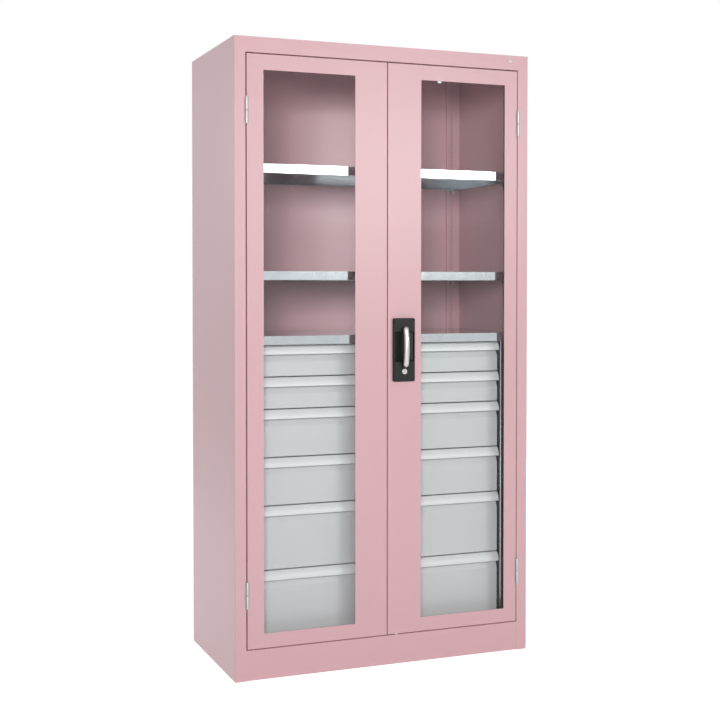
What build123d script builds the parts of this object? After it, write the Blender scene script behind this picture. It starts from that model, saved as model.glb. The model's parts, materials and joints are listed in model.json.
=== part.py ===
from build123d import *
import math
import os

# Steel storage cabinet: folded carcass, two windowed doors, two shelves and a covered block of six drawers.
# Millimetres. +Z is up and -Y is the front. The origin is on the floor under the centre of the overall box.

# Carcass
CARCASS_WIDTH = 1000.0
CARCASS_DEPTH = 500.0
CARCASS_HEIGHT = 1950.0
SHEET = 1.5
BEND_RADIUS = 1.5
POST_WIDTH = 36.5
POST_RETURN = 30.0
REAR_FLANGE = 25.0
TOP_RAIL_HEIGHT = 47.5
TOP_RAIL_DEPTH = 36.0
RAIL_LIP = 15.0
PLINTH_HEIGHT = 93.0
PLINTH_SETBACK = 1.0
PLINTH_DEPTH = 60.0
FOOT_SHOW = 2.0
FOOT_PAD_RADIUS = 18.0
FOOT_PAD_HEIGHT = 8.0
FOOT_STUD_RADIUS = 6.0
FOOT_FROM_POST = 25.0
FOOT_FROM_FRONT = 35.0
FOOT_FROM_BACK = 50.0

# Slotted uprights in the four corners
REAR_UPRIGHT_FROM_WALL = 22.5
REAR_UPRIGHT_WIDTH = 33.0
REAR_UPRIGHT_DEPTH = 12.0
FRONT_UPRIGHT_WIDTH = 49.5
FRONT_UPRIGHT_DEPTH = 35.0
UPRIGHT_RAIL_GAP = 2.0
SLOT_PITCH = 15.0
SLOT_WIDTH = 12.0
SLOT_HEIGHT = 5.0
SLOT_END_MARGIN = 30.0

# Shelves and the cover over the drawers; a level is a share of the height between cover and door opening's top
SHELF_LEVELS = [0.615295, 0.232341]
SHELF_SIDE_GAP = 3.0
SHELF_WALL_GAP = 3.5
SHELF_UPRIGHT_GAP = 2.0
SHELF_BAND = 27.0
SHELF_LIP = 12.0
SHELF_SETBACK = 33.0
SHELF_REAR_GAP = 2.0
COVER_SETBACK = 26.0
CLIP_DEPTH = 14.0
CLIP_HEIGHT = 16.0

# Drawer block
HOUSING_INSET = 8.0
HOUSING_SETBACK = 57.0
HOUSING_REAR_GAP = 10.0
HOUSING_FLANGE = 6.0
DRAWER_PITCHES = [100.0, 100.0, 150.0, 150.0, 200.0, 200.0]
DRAWER_GAP = 3.0
LOWEST_DRAWER_RISE = 26.0
FRONT_SIDE_GAP = 8.0
FRONT_SETBACK = 65.0
FRONT_BOTTOM_RETURN = 15.0
RECESS_DEPTH = 10.0
RECESS_HEIGHT = 24.0
GRIP_HEIGHT = 28.0
GRIP_REACH = 14.0
GRIP_TOP_PROUD = 1.0
GRIP_WALL = 2.0
GRIP_CROWN = 2.5
TRAY_WALL = 1.2
TRAY_REAR_GAP = 12.0
TRAY_FLOOR_RISE = 6.0
TRAY_RIM_DROP = 14.0
RUNNER_SPACE = 11.0
RUNNER_HEIGHT = 35.0
RUNNER_WALL = 1.2
RUNNER_LIP = 8.5
RUNNER_CLEARANCE = 0.3
RUNNER_START = 7.0
RUNNER_RISE = 8.0

# Doors
DOOR_GAP = 3.0
DOOR_DEPTH = 22.0
DOOR_LIP = 14.0
HINGE_STILE = 49.0
MEETING_STILE = 111.0
WINDOW_SHIFT = 3.5
WINDOW_LOW_RAIL = 45.0
WINDOW_TOP_RAIL = 47.5
PANE_THICKNESS = 3.0
PANE_OVERLAP = 15.0
PANE_CLIP_WIDTH = 14.0
PANE_CLIP_FOOT = 9.0
PANE_CLIP_WALL = 3.0
PANE_CLIP_REACH = 8.0
TOP_CLIP_REACH = 21.0
PANE_CLIP_OFFSET = 83.5
SIDE_CLIPS = 3

# Lift-off hinges, one half of each on the post and one on the door
HINGE_FROM_DOOR_BOTTOM = 166.0
HINGE_FROM_DOOR_TOP = 171.0
HINGE_LENGTH = 83.0
HINGE_RADIUS = 4.5
HINGE_STAND_OFF = 0.1
HINGE_PIN_RADIUS = 2.5
HINGE_PIN_CLEARANCE = 0.05
HINGE_END_GAP = 0.4
HINGE_LEAF = 1.2
HINGE_LEAF_DEPTH = 16.0

# Handle, lock and the bolts that it drives
HANDLE_FROM_EDGE = 51.5
PLATE_ABOVE_DOOR_BOTTOM = 902.0
PLATE_WIDTH = 72.0
PLATE_HEIGHT = 200.0
PLATE_DEPTH = 14.0
PLATE_CORNER = 5.0
PLATE_EDGE = 2.0
DISH_SIDE_WALL = 3.0
DISH_LOW = 39.0
DISH_HIGH = 58.0
DISH_DEPTH = 10.0
DISH_SLOPE = 20.0
LEVER_DIAMETER = 19.0
LEVER_BULGE = 6.5
LEVER_CLEARANCE = 0.5
LEVER_PIVOT_RISE = 65.0
LEVER_SPAN = 110.0
SPINDLE_RADIUS = 5.0
SPINDLE_CLEARANCE = 0.05
LOCK_DROP = 68.5
LOCK_RADIUS = 8.5
LOCK_PROUD = 1.5
LOCK_TAIL = 13.0
LOCK_FIT = 0.1
PLUG_RADIUS = 6.0
PLUG_CLEARANCE = 0.05
KEY_SLOT_WIDTH = 1.6
KEY_SLOT_HEIGHT = 8.0
KEY_SLOT_DEPTH = 6.0
TONGUE_LENGTH = 11.5
TONGUE_WIDTH = 8.0
TONGUE_THICKNESS = 2.5
PINION_PITCH_RADIUS = 11.45
PINION_TEETH = 12
TOOTH_HEAD = 1.5
TOOTH_FOOT = 2.0
TOOTH_BACKLASH = 0.5
TOOTH_TAPER = 0.36
PINION_FIT = 0.02
BOLT_WIDTH = 8.0
BOLT_THICKNESS = 6.0
BOLT_BEHIND_FRONT = 8.0
BOLT_HOLE_CLEARANCE = 2.0
BOLT_TIP_INSET = 1.0
LEVER_TURN = 90.0
RACK_MARGIN = 12.0
GUIDE_CLEARANCE = 0.3
GUIDE_WALL = 2.5
GUIDE_HEIGHT = 12.0
GUIDE_FROM_PIVOT = 60.0
GUIDE_FROM_TIP = 40.0

# Places worked out from the sizes above
HANDLE_REACH = PLATE_DEPTH + LEVER_CLEARANCE + LEVER_DIAMETER + LEVER_BULGE
FRONT_Y = (HANDLE_REACH - CARCASS_DEPTH) / 2
BACK_Y = FRONT_Y + CARCASS_DEPTH
BACK_PANEL_Y = BACK_Y - 2 * SHEET
BASE_Z = FOOT_SHOW
TOP_Z = BASE_Z + CARCASS_HEIGHT
ROOF_LOW = TOP_Z - SHEET
HALF_WIDTH = CARCASS_WIDTH / 2
WALL_INNER = HALF_WIDTH - SHEET
OPENING_HALF = HALF_WIDTH - POST_WIDTH
OPENING_LOW = BASE_Z + PLINTH_HEIGHT
OPENING_HIGH = TOP_Z - TOP_RAIL_HEIGHT
REAR_UPRIGHT_INNER = WALL_INNER - REAR_UPRIGHT_FROM_WALL - REAR_UPRIGHT_WIDTH
REAR_WEB_Y = BACK_PANEL_Y - REAR_UPRIGHT_DEPTH
FRONT_UPRIGHT_INNER = WALL_INNER - FRONT_UPRIGHT_WIDTH
FRONT_UPRIGHT_Y = FRONT_Y + TOP_RAIL_DEPTH + UPRIGHT_RAIL_GAP
FRONT_WEB_Y = FRONT_UPRIGHT_Y + FRONT_UPRIGHT_DEPTH
SLOT_CENTRE_X = REAR_UPRIGHT_INNER + REAR_UPRIGHT_WIDTH / 2
SHELF_HALF_WIDTH = REAR_UPRIGHT_INNER - SHELF_SIDE_GAP
SHELF_WIDE_HALF = WALL_INNER - SHELF_WALL_GAP
SHELF_WIDE_Y = FRONT_WEB_Y + SHELF_UPRIGHT_GAP
SHELF_REAR_Y = REAR_WEB_Y - SHELF_REAR_GAP
COVER_TOP = OPENING_LOW + LOWEST_DRAWER_RISE + sum(DRAWER_PITCHES) + SHELF_BAND
SHELF_TOPS = [COVER_TOP + level * (OPENING_HIGH - COVER_TOP) for level in SHELF_LEVELS]
HOUSING_HALF_WIDTH = SHELF_HALF_WIDTH - HOUSING_INSET
HOUSING_FRONT_Y = FRONT_Y + HOUSING_SETBACK
HOUSING_REAR_Y = REAR_WEB_Y - HOUSING_REAR_GAP
FRONT_HALF_WIDTH = HOUSING_HALF_WIDTH - FRONT_SIDE_GAP
FACE_Y = FRONT_Y + FRONT_SETBACK
RECESS_Y = FACE_Y + RECESS_DEPTH
TRAY_HALF_WIDTH = HOUSING_HALF_WIDTH - RUNNER_SPACE
TRAY_Y = RECESS_Y + SHEET
TRAY_REAR_Y = HOUSING_REAR_Y - TRAY_REAR_GAP
RUNNER_Y = TRAY_Y + RUNNER_START
DOOR_LOW = OPENING_LOW + DOOR_GAP
DOOR_HIGH = OPENING_HIGH - DOOR_GAP
DOOR_HINGE_EDGE = OPENING_HALF - DOOR_GAP
DOOR_MEETING_EDGE = DOOR_GAP / 2
SKIN_INNER_Y = FRONT_Y + SHEET
HINGE_X = OPENING_HALF - DOOR_GAP / 2
HINGE_Y = FRONT_Y - HINGE_RADIUS - HINGE_STAND_OFF
HINGE_CENTRES = [DOOR_LOW + HINGE_FROM_DOOR_BOTTOM, DOOR_HIGH - HINGE_FROM_DOOR_TOP]
HANDLE_X = DOOR_MEETING_EDGE + HANDLE_FROM_EDGE
PLATE_Z = DOOR_LOW + PLATE_ABOVE_DOOR_BOTTOM
PLATE_FACE_Y = FRONT_Y - PLATE_DEPTH
PIVOT_Z = PLATE_Z + LEVER_PIVOT_RISE
LOCK_Z = PLATE_Z - LOCK_DROP
BOLT_NEAR_Y = FRONT_Y + BOLT_BEHIND_FRONT
BOLT_FAR_Y = BOLT_NEAR_Y + BOLT_THICKNESS
BOLT_OFFSET = PINION_PITCH_RADIUS + TOOTH_FOOT + BOLT_WIDTH / 2
UPPER_BOLT_X = HANDLE_X + BOLT_OFFSET
LOWER_BOLT_X = HANDLE_X - BOLT_OFFSET
BOLT_THROW = PINION_PITCH_RADIUS * math.radians(LEVER_TURN)
UPPER_TIP_Z = DOOR_HIGH - BOLT_TIP_INSET
LOWER_TIP_Z = DOOR_LOW + BOLT_TIP_INSET
TOOTH_PITCH = 2 * math.pi * PINION_PITCH_RADIUS / PINION_TEETH
TOOTH_HALF = TOOTH_PITCH / 4 - TOOTH_BACKLASH / 2
WINDOW_LOW = DOOR_LOW + WINDOW_LOW_RAIL
WINDOW_HIGH = DOOR_HIGH - WINDOW_TOP_RAIL


# Shaping helpers
def block(low, high):
    """Box between two opposite corners."""
    sizes = [b - a for a, b in zip(low, high)]
    centre = [(a + b) / 2 for a, b in zip(low, high)]
    return Pos(*centre) * Box(*sizes)


def both_sides(shape):
    """The shape and its mirror image in the middle plane of the cabinet."""
    return [shape, mirror(shape, Plane.YZ)]


def hollow(low, high, open_axis, open_upward, wall, lip):
    """Cutter that hollows a box to its wall and opens it on one side, inside a lip along the rim."""
    cavity_low = [a + wall for a in low]
    cavity_high = [b - wall for b in high]
    mouth_low = [a + lip for a in cavity_low]
    mouth_high = [b - lip for b in cavity_high]
    if open_upward:
        mouth_low[open_axis] = cavity_high[open_axis] - wall
        mouth_high[open_axis] = high[open_axis] + wall
    else:
        mouth_low[open_axis] = low[open_axis] - wall
        mouth_high[open_axis] = cavity_low[open_axis] + wall
    return block(cavity_low, cavity_high) + block(mouth_low, mouth_high)


def pan(low, high, *opening):
    """Sheet pan: a box hollowed to its wall, open on one side, where a lip turns in along the rim."""
    return block(low, high) - hollow(low, high, *opening)


def cylinder_y(x, z, radius, front, back):
    """Cylinder whose axis runs from front to back."""
    return Pos(x, (front + back) / 2, z) * Rot(90, 0, 0) * Cylinder(radius, back - front)


def left_offset(path, distance):
    """A path moved to its left side, with mitred corners."""
    points = [Vector(*p) for p in path]
    runs = [(b - a).normalized() for a, b in zip(points, points[1:])]
    normals = [Vector(-r.Y, r.X) for r in runs]
    moved = [points[0] + normals[0] * distance]
    for point, before, after in zip(points[1:], normals, normals[1:]):
        moved.append(point + (before + after) * (distance / (1 + before.dot(after))))
    return moved + [points[-1] + normals[-1] * distance]


def folded_face(path, thickness):
    """Section of a folded sheet: its thickness lies to the left of the path, and its bends are round."""
    points = [Vector(*p) for p in path]
    offset = left_offset(path, thickness)
    face = make_face(Polyline(*points, *reversed(offset), close=True))
    for i in range(1, len(points) - 1):
        turn = (points[i] - points[i - 1]).cross(points[i + 1] - points[i]).Z
        outside, inside = (points[i], offset[i]) if turn > 0 else (offset[i], points[i])
        for corner, radius in ((outside, BEND_RADIUS + thickness), (inside, BEND_RADIUS)):
            face = fillet(face.vertices().sort_by_distance(corner)[0], radius)
    return face


def along_z(face, low, high):
    """A plan section carried upwards."""
    return extrude(Pos(0, 0, low) * face, high - low)


def along_x(face, left, right):
    """A side section, drawn in Y and Z, carried across the cabinet."""
    return extrude(Plane.YZ.offset(left) * face, right - left)


# Carcass
def side_panel():
    """Right side: the wall, the front post with its return, and the rear flange, from one folded sheet."""
    path = [
        (OPENING_HALF, FRONT_Y + POST_RETURN),
        (OPENING_HALF, FRONT_Y),
        (HALF_WIDTH, FRONT_Y),
        (HALF_WIDTH, BACK_Y),
        (HALF_WIDTH - REAR_FLANGE, BACK_Y),
    ]
    return along_z(folded_face(path, SHEET), BASE_Z, ROOF_LOW)


def back_panel():
    """Flat sheet in front of the rear flanges, as wide as their bends leave room for."""
    half = WALL_INNER - BEND_RADIUS
    return block((-half, BACK_PANEL_Y, BASE_Z), (half, BACK_PANEL_Y + SHEET, ROOF_LOW))


def top_panel():
    return block((-HALF_WIDTH, FRONT_Y, ROOF_LOW), (HALF_WIDTH, BACK_Y, TOP_Z))


def bolt_hole(x, low, high):
    """Cutter for the hole that a bolt enters."""
    grow = BOLT_HOLE_CLEARANCE
    half = BOLT_WIDTH / 2 + grow
    return block((x - half, BOLT_NEAR_Y - grow, low), (x + half, BOLT_FAR_Y + grow, high))


def top_rail():
    """Front rail under the roof, with a bottom return that holds the upper bolt hole."""
    path = [
        (FRONT_Y + TOP_RAIL_DEPTH, OPENING_HIGH + RAIL_LIP),
        (FRONT_Y + TOP_RAIL_DEPTH, OPENING_HIGH),
        (FRONT_Y, OPENING_HIGH),
        (FRONT_Y, ROOF_LOW),
    ]
    section = folded_face(list(reversed(path)), SHEET)
    rail = along_x(section, -OPENING_HALF, OPENING_HALF)
    return rail - bolt_hole(UPPER_BOLT_X, OPENING_HIGH - SHEET, OPENING_HIGH + 2 * SHEET)


def plinth():
    """Base strip between the posts, a little set back, with a top return that holds the lower bolt hole."""
    face_y = FRONT_Y + PLINTH_SETBACK
    path = [
        (face_y + RAIL_LIP, BASE_Z),
        (face_y, BASE_Z),
        (face_y, OPENING_LOW),
        (FRONT_Y + PLINTH_DEPTH, OPENING_LOW),
    ]
    section = folded_face(list(reversed(path)), SHEET)
    strip = along_x(section, -OPENING_HALF, OPENING_HALF)
    return strip - bolt_hole(LOWER_BOLT_X, OPENING_LOW - 2 * SHEET, OPENING_LOW + SHEET)


def floor_panel():
    low = (-WALL_INNER, FRONT_Y + PLINTH_DEPTH, OPENING_LOW - SHEET)
    return block(low, (WALL_INNER, BACK_PANEL_Y, OPENING_LOW))


def slotted_web(inner, outer, y_low, low, high):
    """Upright strip of sheet with a row of slots for the shelf clips."""
    count = int((high - low - 2 * SLOT_END_MARGIN) // SLOT_PITCH)
    first = (low + high) / 2 - (count - 1) / 2 * SLOT_PITCH
    frame = Plane.XZ.offset(-y_low)
    outline = frame * Pos((inner + outer) / 2, (low + high) / 2) * Rectangle(outer - inner, high - low)
    slots = [
        (frame * Pos(SLOT_CENTRE_X, first + i * SLOT_PITCH) * Rectangle(SLOT_WIDTH, SLOT_HEIGHT)).wire()
        for i in range(count)
    ]
    return extrude(Face(outline.wire(), slots), SHEET, dir=(0, 1, 0))


def rear_upright():
    """Channel on the back panel whose slotted web faces the front."""
    low, high = OPENING_LOW, ROOF_LOW
    inner, outer = REAR_UPRIGHT_INNER, REAR_UPRIGHT_INNER + REAR_UPRIGHT_WIDTH
    web = slotted_web(inner, outer, REAR_WEB_Y, low, high)
    leg_y = REAR_WEB_Y + SHEET
    legs = [block((x, leg_y, low), (x + SHEET, BACK_PANEL_Y, high)) for x in (inner, outer - SHEET)]
    return web + legs


def front_upright():
    """Angle behind the post: a slotted web that faces the back, and a leg beside the door opening."""
    low, high = OPENING_LOW, ROOF_LOW
    web_y = FRONT_WEB_Y - SHEET
    web = slotted_web(FRONT_UPRIGHT_INNER, WALL_INNER, web_y, low, high)
    leg_outer = FRONT_UPRIGHT_INNER + SHEET
    return web + block((FRONT_UPRIGHT_INNER, FRONT_UPRIGHT_Y, low), (leg_outer, web_y, high))


def feet():
    """Levelling feet: a round pad on a stud that meets the plinth in front and the floor panel behind."""
    pad = Pos(0, 0, FOOT_PAD_HEIGHT / 2) * Cylinder(FOOT_PAD_RADIUS, FOOT_PAD_HEIGHT)
    pad = fillet(pad.edges().sort_by(Axis.Z)[-1], FOOT_SHOW)
    stud_top = OPENING_LOW - SHEET
    stud_length = stud_top - FOOT_PAD_HEIGHT
    foot = pad + Pos(0, 0, FOOT_PAD_HEIGHT + stud_length / 2) * Cylinder(FOOT_STUD_RADIUS, stud_length)
    x = OPENING_HALF - FOOT_FROM_POST
    places = (FRONT_Y + FOOT_FROM_FRONT, BACK_Y - FOOT_FROM_BACK)
    return [Pos(side * x, y, 0) * foot for side in (-1, 1) for y in places]


# Shelves
def shelf(top, setback):
    """Shelf folded down all round, with a lip underneath: notched to clear the front uprights."""
    boxes = [
        ((-half, front, top - SHELF_BAND), (half, SHELF_REAR_Y, top))
        for half, front in ((SHELF_HALF_WIDTH, FRONT_Y + setback), (SHELF_WIDE_HALF, SHELF_WIDE_Y))
    ]
    narrow, wide = [block(*box) for box in boxes]
    return narrow + wide - [hollow(*box, 2, False, SHEET, SHELF_LIP) for box in boxes]


def shelf_clips():
    """Clips hooked into the slots of the uprights, under the corners of each shelf."""
    inner, outer = SLOT_CENTRE_X - SLOT_WIDTH / 2, SLOT_CENTRE_X + SLOT_WIDTH / 2
    spans = ((FRONT_WEB_Y, FRONT_WEB_Y + CLIP_DEPTH), (REAR_WEB_Y - CLIP_DEPTH, REAR_WEB_Y))
    clips = []
    for top in SHELF_TOPS:
        high = top - SHELF_BAND
        for near, far in spans:
            clips += both_sides(block((inner, near, high - CLIP_HEIGHT), (outer, far, high)))
    return clips


# Drawer block
def housing_side():
    """Right wall of the drawer block, with a narrow flange turned out along its front edge."""
    path = [
        (HOUSING_HALF_WIDTH, HOUSING_REAR_Y),
        (HOUSING_HALF_WIDTH, HOUSING_FRONT_Y),
        (HOUSING_HALF_WIDTH + HOUSING_FLANGE, HOUSING_FRONT_Y),
    ]
    return along_z(folded_face(path, SHEET), OPENING_LOW, COVER_TOP - SHELF_BAND)


def drawer_levels():
    """Lower and upper edge of each drawer front, from the top one down."""
    high = COVER_TOP - SHELF_BAND - DRAWER_GAP
    levels = []
    for pitch in DRAWER_PITCHES:
        levels.append((high - pitch + DRAWER_GAP, high))
        high -= pitch
    return levels


def drawer_front(low, high):
    """Folded front: a flat face, a recess that slopes back above it, and an upright behind the grip."""
    path = [
        (FACE_Y + FRONT_BOTTOM_RETURN, low),
        (FACE_Y, low),
        (FACE_Y, high - GRIP_HEIGHT - RECESS_HEIGHT),
        (RECESS_Y, high - GRIP_HEIGHT),
        (RECESS_Y, high),
    ]
    section = folded_face(list(reversed(path)), SHEET)
    return along_x(section, -FRONT_HALF_WIDTH, FRONT_HALF_WIDTH)


def drawer_grip(high):
    """Grip rail: a hood over the finger recess, bulging forwards down to its lip."""
    top_y = FACE_Y - GRIP_TOP_PROUD
    lip_y = FACE_Y - GRIP_REACH
    lip_z = high - GRIP_HEIGHT
    crown = ((top_y + lip_y) / 2 - GRIP_CROWN, (high + lip_z) / 2 + GRIP_CROWN)
    outer = [Line((RECESS_Y, high), (top_y, high)), ThreePointArc((top_y, high), crown, (lip_y, lip_z))]
    inner_lip = (lip_y + GRIP_WALL, lip_z)
    inner_top = (top_y + GRIP_WALL, high - GRIP_WALL)
    inner_crown = (crown[0] + GRIP_WALL, crown[1] - GRIP_WALL / 2)
    inner = [
        Line((lip_y, lip_z), inner_lip),
        ThreePointArc(inner_lip, inner_crown, inner_top),
        Line(inner_top, (RECESS_Y, high - GRIP_WALL)),
        Line((RECESS_Y, high - GRIP_WALL), (RECESS_Y, high)),
    ]
    return along_x(make_face(outer + inner), -FRONT_HALF_WIDTH, FRONT_HALF_WIDTH)


def drawer_tray(low, high):
    corner = (-TRAY_HALF_WIDTH, TRAY_Y, low + TRAY_FLOOR_RISE)
    opposite = (TRAY_HALF_WIDTH, TRAY_REAR_Y, high - TRAY_RIM_DROP)
    return pan(corner, opposite, 2, True, TRAY_WALL, 0)


def runner_low(low):
    return low + TRAY_FLOOR_RISE + RUNNER_RISE


def drawer_runners(low):
    """Bars on both sides of a tray that slide in the rails of the housing."""
    inset = RUNNER_WALL + RUNNER_CLEARANCE
    z = runner_low(low)
    near = (TRAY_HALF_WIDTH, RUNNER_Y, z + inset)
    far = (HOUSING_HALF_WIDTH - inset, TRAY_REAR_Y, z + RUNNER_HEIGHT - inset)
    return both_sides(block(near, far))


def housing_rails():
    """Channel rails on the housing walls, a pair for each drawer."""
    rails = []
    for low, _ in drawer_levels():
        z = runner_low(low)
        path = [
            (HOUSING_HALF_WIDTH - RUNNER_LIP, z),
            (HOUSING_HALF_WIDTH, z),
            (HOUSING_HALF_WIDTH, z + RUNNER_HEIGHT),
            (HOUSING_HALF_WIDTH - RUNNER_LIP, z + RUNNER_HEIGHT),
        ]
        section = make_face(Polyline(*path, *reversed(left_offset(path, RUNNER_WALL)), close=True))
        rail = extrude(Plane.XZ.offset(-RUNNER_Y) * section, TRAY_REAR_Y - RUNNER_Y, dir=(0, 1, 0))
        rails += both_sides(rail)
    return rails


# Doors
def window_span(side):
    """Lower and upper X of the window of the left (-1) or right (1) door."""
    edges = (DOOR_MEETING_EDGE + MEETING_STILE, DOOR_HINGE_EDGE - HINGE_STILE)
    return sorted(side * edge + WINDOW_SHIFT for edge in edges)


def door_span(side):
    return sorted((side * DOOR_MEETING_EDGE, side * DOOR_HINGE_EDGE))


def door_skin(side):
    """Folded door: a pan that is open to the inside of the cabinet, with its window cut out."""
    left, right = door_span(side)
    rear = FRONT_Y + DOOR_DEPTH
    skin = pan((left, FRONT_Y, DOOR_LOW), (right, rear, DOOR_HIGH), 1, True, SHEET, DOOR_LIP)
    front = skin.faces().sort_by(Axis.Y)[0]
    skin = fillet(front.edges(), BEND_RADIUS)
    window_left, window_right = window_span(side)
    window_near = (window_left, FRONT_Y - SHEET, WINDOW_LOW)
    return skin - block(window_near, (window_right, SKIN_INNER_Y + SHEET, WINDOW_HIGH))


def right_door_skin():
    """The door with the lock: holes for the spindle and the lock, and for the bolts in its edges."""
    skin = door_skin(1)
    skin -= cylinder_y(HANDLE_X, PIVOT_Z, SPINDLE_RADIUS + LOCK_FIT, FRONT_Y - SHEET, SKIN_INNER_Y + SHEET)
    skin -= cylinder_y(HANDLE_X, LOCK_Z, LOCK_RADIUS + LOCK_FIT, FRONT_Y - SHEET, SKIN_INNER_Y + SHEET)
    skin -= bolt_hole(UPPER_BOLT_X, DOOR_HIGH - 2 * SHEET, DOOR_HIGH + SHEET)
    return skin - bolt_hole(LOWER_BOLT_X, DOOR_LOW - SHEET, DOOR_LOW + 2 * SHEET)


def door_pane(side):
    left, right = window_span(side)
    low = (left - PANE_OVERLAP, SKIN_INNER_Y, WINDOW_LOW - PANE_OVERLAP)
    high = (right + PANE_OVERLAP, SKIN_INNER_Y + PANE_THICKNESS, WINDOW_HIGH + PANE_OVERLAP)
    return block(low, high)


def pane_clip(x, z, outward, reach):
    """Clip with its foot on the skin beside the pane and its finger over the edge of the pane."""
    across = Vector(abs(outward[1]), abs(outward[0])) * (PANE_CLIP_WIDTH / 2)
    way = Vector(*outward)
    back = SKIN_INNER_Y + PANE_THICKNESS
    start = Vector(x, z)
    pieces = []
    for near, far, y_low, y_high in (
        (-reach, PANE_CLIP_FOOT, back, back + PANE_CLIP_WALL),
        (0, PANE_CLIP_FOOT, SKIN_INNER_Y, back),
    ):
        corners = [start + way * near - across, start + way * far + across]
        lows = [min(c.X for c in corners), y_low, min(c.Y for c in corners)]
        highs = [max(c.X for c in corners), y_high, max(c.Y for c in corners)]
        pieces.append(block(lows, highs))
    clip = pieces[0] + pieces[1]
    tip = (x - way.X * reach, back, z - way.Y * reach)
    tip_edges = clip.edges().filter_by(Axis.Y).sort_by_distance(tip)[:2]
    return fillet(tip_edges, PANE_CLIP_WIDTH / 2 - SHEET)


def pane_clips(side):
    """Clips round a pane. One of the upper clips of the right door reaches down into the window."""
    left, right = window_span(side)
    left -= PANE_OVERLAP
    right += PANE_OVERLAP
    low, high = WINDOW_LOW - PANE_OVERLAP, WINDOW_HIGH + PANE_OVERLAP
    middle = (left + right) / 2
    clips = []
    for x in (middle - PANE_CLIP_OFFSET, middle + PANE_CLIP_OFFSET):
        long_one = side > 0 and x < middle
        clips.append(pane_clip(x, high, (0, 1), TOP_CLIP_REACH if long_one else PANE_CLIP_REACH))
        clips.append(pane_clip(x, low, (0, -1), PANE_CLIP_REACH))
    for i in range(SIDE_CLIPS):
        z = low + (i + 0.5) * (high - low) / SIDE_CLIPS
        clips.append(pane_clip(left, z, (-1, 0), PANE_CLIP_REACH))
        clips.append(pane_clip(right, z, (1, 0), PANE_CLIP_REACH))
    return clips


# Hinges
def knuckle(leaf_low_x, low, high):
    """Half of a right-hand hinge: a bored barrel and a leaf that runs back into the door gap."""
    middle = (low + high) / 2
    barrel = Pos(HINGE_X, HINGE_Y, middle) * Cylinder(HINGE_RADIUS, high - low)
    leaf_low = (leaf_low_x, HINGE_Y, low)
    leaf = block(leaf_low, (leaf_low_x + HINGE_LEAF, FRONT_Y + HINGE_LEAF_DEPTH, high))
    bore = Pos(HINGE_X, HINGE_Y, middle) * Cylinder(HINGE_PIN_RADIUS + HINGE_PIN_CLEARANCE, high - low)
    return barrel + leaf - bore


def post_knuckles():
    """Lower halves, with their leaves on the returns of the posts."""
    halves = []
    for centre in HINGE_CENTRES:
        low = centre - HINGE_LENGTH / 2
        halves += both_sides(knuckle(OPENING_HALF - HINGE_LEAF, low, centre - HINGE_END_GAP / 2))
    return halves


def door_knuckles(side):
    """Upper halves, with their leaves on the hinge edge of a door."""
    halves = []
    for centre in HINGE_CENTRES:
        half = knuckle(DOOR_HINGE_EDGE, centre + HINGE_END_GAP / 2, centre + HINGE_LENGTH / 2)
        halves.append(half if side > 0 else mirror(half, Plane.YZ))
    return halves


def hinge_pins():
    pins = []
    for centre in HINGE_CENTRES:
        pin = Pos(HINGE_X, HINGE_Y, centre) * Cylinder(HINGE_PIN_RADIUS, HINGE_LENGTH)
        pins += both_sides(pin)
    return pins


# Handle and lock
def handle_plate():
    """Moulded plate with a finger dish behind the lever, and holes for the spindle and the lock."""
    low = (HANDLE_X - PLATE_WIDTH / 2, PLATE_FACE_Y, PLATE_Z - PLATE_HEIGHT / 2)
    plate = block(low, (HANDLE_X + PLATE_WIDTH / 2, FRONT_Y, PLATE_Z + PLATE_HEIGHT / 2))
    plate = fillet(plate.edges().filter_by(Axis.Y), PLATE_CORNER)
    plate = fillet(plate.faces().sort_by(Axis.Y)[0].edges(), PLATE_EDGE)
    dish_floor = PLATE_FACE_Y + DISH_DEPTH
    dish_low, dish_high = PLATE_Z - DISH_LOW, PLATE_Z + DISH_HIGH
    slope = DISH_DEPTH * math.tan(math.radians(DISH_SLOPE))
    profile = Polyline(
        (PLATE_FACE_Y, dish_low),
        (dish_floor, dish_low + slope),
        (dish_floor, dish_high - slope),
        (PLATE_FACE_Y, dish_high),
        close=True,
    )
    half = PLATE_WIDTH / 2 - DISH_SIDE_WALL
    plate -= along_x(make_face(profile), HANDLE_X - half, HANDLE_X + half)
    front, back = PLATE_FACE_Y - SHEET, FRONT_Y + SHEET
    plate -= cylinder_y(HANDLE_X, PIVOT_Z, SPINDLE_RADIUS + SPINDLE_CLEARANCE, front, back)
    return plate - cylinder_y(HANDLE_X, LOCK_Z, LOCK_RADIUS + LOCK_FIT, front, back)


def handle_lever():
    """Bow-shaped bar with round ends, and the spindle that carries it at its upper end."""
    radius = LEVER_DIAMETER / 2
    end_y = PLATE_FACE_Y - LEVER_CLEARANCE - radius
    top, bottom = (0, end_y, PIVOT_Z), (0, end_y, PIVOT_Z - LEVER_SPAN)
    bow = ThreePointArc(top, (0, end_y - LEVER_BULGE, PIVOT_Z - LEVER_SPAN / 2), bottom)
    bar = sweep(Plane(bow @ 0, z_dir=bow % 0) * Circle(radius), bow)
    bar += [Pos(*point) * Sphere(radius) for point in (top, bottom)]
    lever = Pos(HANDLE_X, 0, 0) * bar
    spindle_end = BOLT_FAR_Y + SHEET
    return lever + cylinder_y(HANDLE_X, PIVOT_Z, SPINDLE_RADIUS, end_y, spindle_end)


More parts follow.
